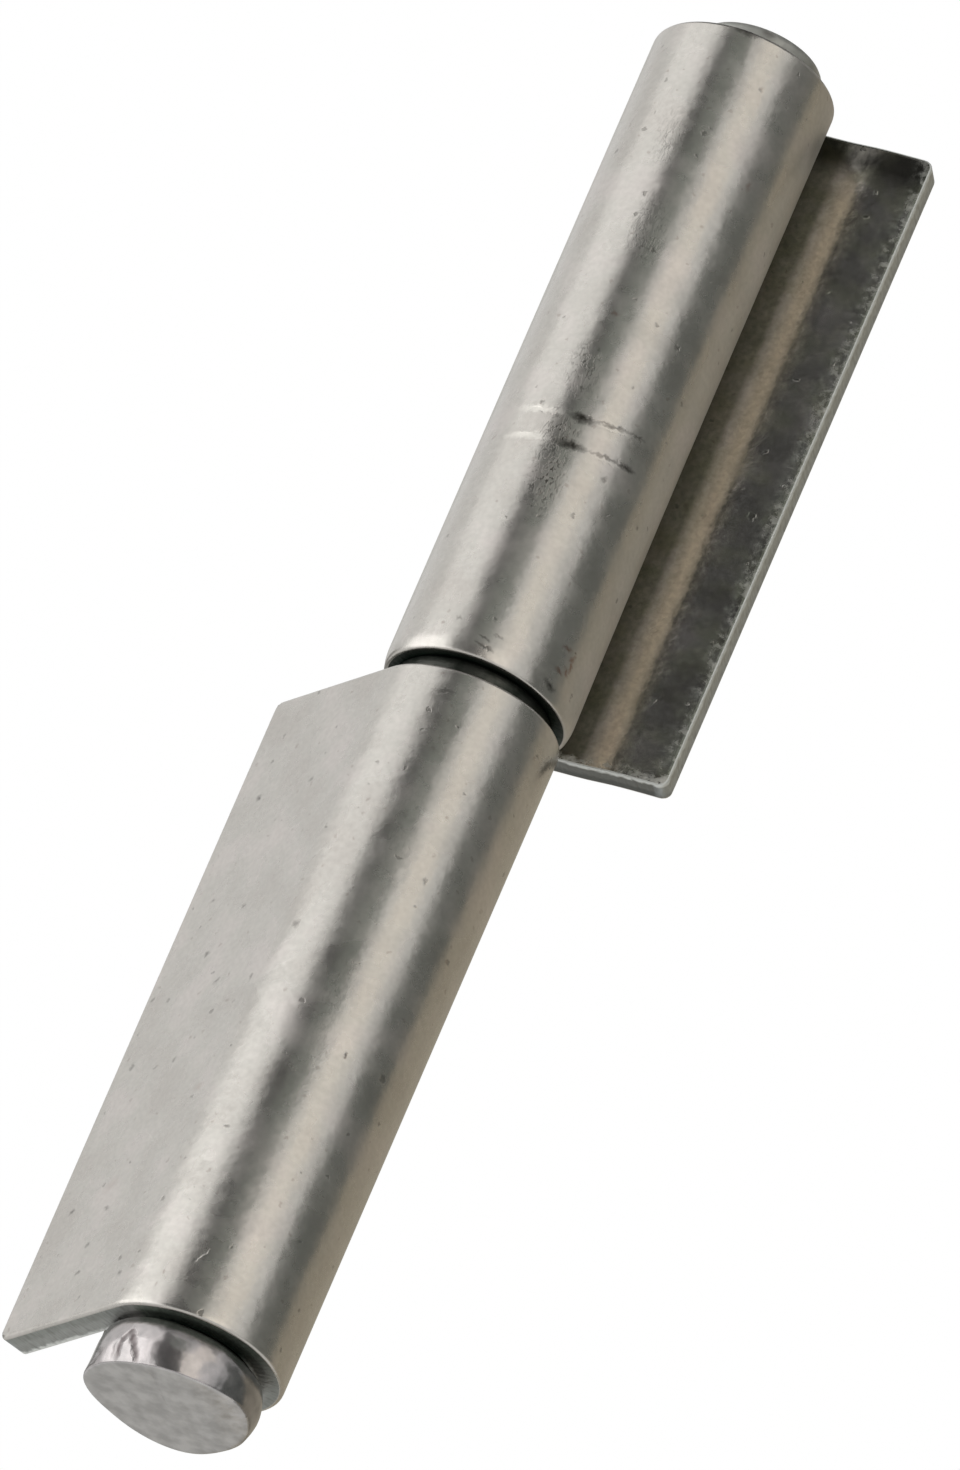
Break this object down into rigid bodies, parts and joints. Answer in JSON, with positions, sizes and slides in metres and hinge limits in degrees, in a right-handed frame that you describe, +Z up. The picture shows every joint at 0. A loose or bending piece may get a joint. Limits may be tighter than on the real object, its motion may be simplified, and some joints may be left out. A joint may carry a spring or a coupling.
{
  "type": "weld-on hinge",
  "caption": "Weld-on hinge with two rolled steel leaves, one above the other, that turn on a loose headed pin with a washer between their knuckles.",
  "frame": {"origin": "middle of the flat outer face of the frame leaf's wing, the face that is welded to the post", "axes": "+Z up along the pin, towards its head; -Y out of the weld face; +X from the pin towards the free edge of the frame leaf's wing"},
  "size_m": [0.0328, 0.016, 0.1325],
  "materials": {
    "frame_leaf_steel": "bare rolled steel strip, satin, with fine pits",
    "door_leaf_steel": "bare rolled steel strip, satin, with fine pits",
    "pin_steel": "bare drawn bar with a cold-headed end",
    "washer_steel": "plain steel, oiled"
  },
  "bodies": {
    "frame": {"frame_leaf": "frame_leaf_steel", "thrust_washer": "washer_steel"},
    "door": {"door_leaf": "door_leaf_steel"},
    "pin": {"hinge_pin": "pin_steel"}
  },
  "joints": [
    {"name": "door_turn", "type": "hinge", "parent": "frame", "child": "door", "pos_m": [-0.008, 0.008, 0], "axis": [0, 0, 1], "continuous": true},
    {"name": "pin_pull", "type": "slide", "parent": "door", "child": "pin", "axis": [0, 0, 1], "range_m": [0, 0.128]}
  ]
}
